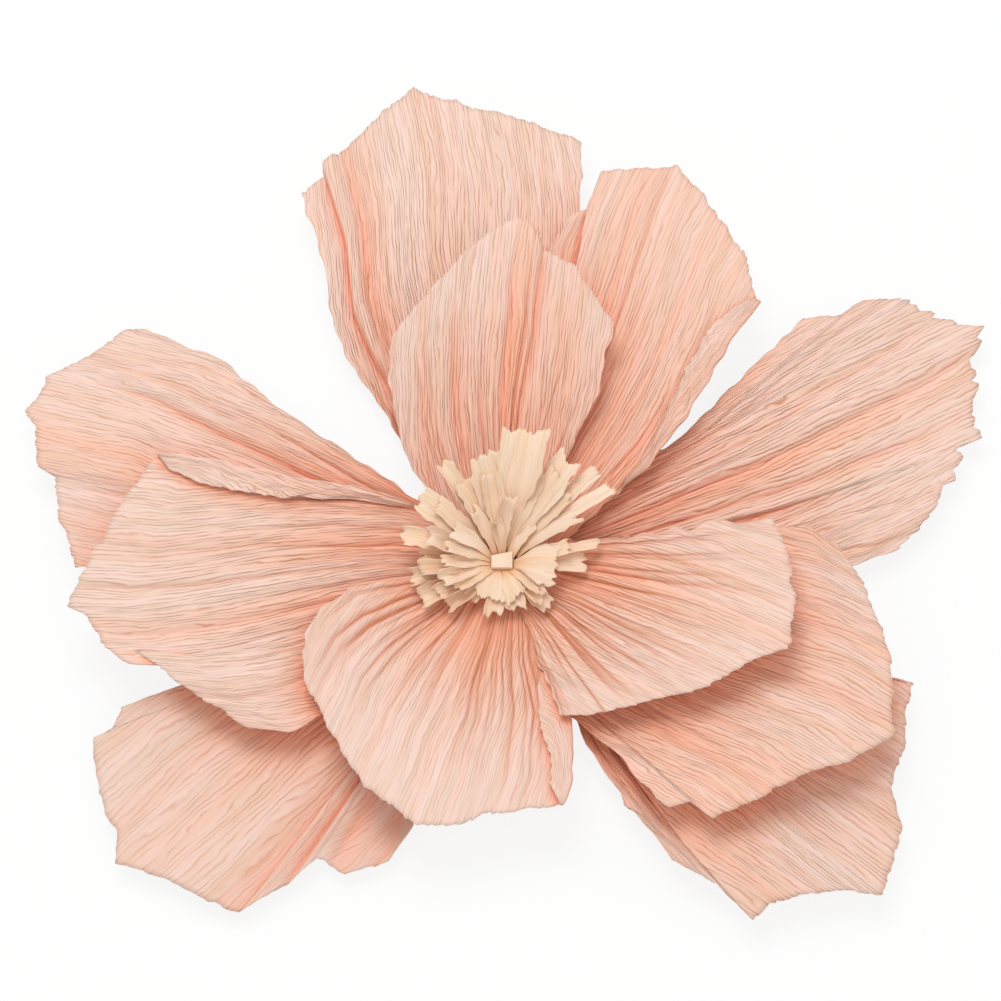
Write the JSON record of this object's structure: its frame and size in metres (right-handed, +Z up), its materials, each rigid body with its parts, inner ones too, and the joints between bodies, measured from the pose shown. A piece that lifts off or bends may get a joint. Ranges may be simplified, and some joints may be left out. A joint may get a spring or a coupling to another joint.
{
  "type": "crepe paper flower",
  "caption": "Large open flower of gathered blush crepe paper petals in three layers, with a rolled and fringed cream crepe centre.",
  "frame": {"origin": "centre of the backing disc's underside, which the flower rests on", "axes": "+Z up through the flower's centre, +X to the right and +Y away from a viewer who looks down on it, as pictured"},
  "size_m": [0.4071, 0.3684, 0.0582],
  "materials": {
    "petal_crepe": "matte",
    "cream_crepe": "matte",
    "backing_card": "matte"
  },
  "bodies": {
    "root": {"outer_petal_right": "petal_crepe", "outer_petal_top": "petal_crepe", "outer_petal_lower_left": "petal_crepe", "outer_petal_left": "petal_crepe", "outer_petal_lower_right": "petal_crepe", "middle_petal_top_right": "petal_crepe", "middle_petal_left": "petal_crepe", "middle_petal_right": "petal_crepe", "inner_petal_top": "petal_crepe", "inner_petal_bottom": "petal_crepe", "inner_petal_right": "petal_crepe", "centre_fringe": "cream_crepe", "centre_core": "cream_crepe", "backing_disc": "backing_card"}
  },
  "joints": []
}
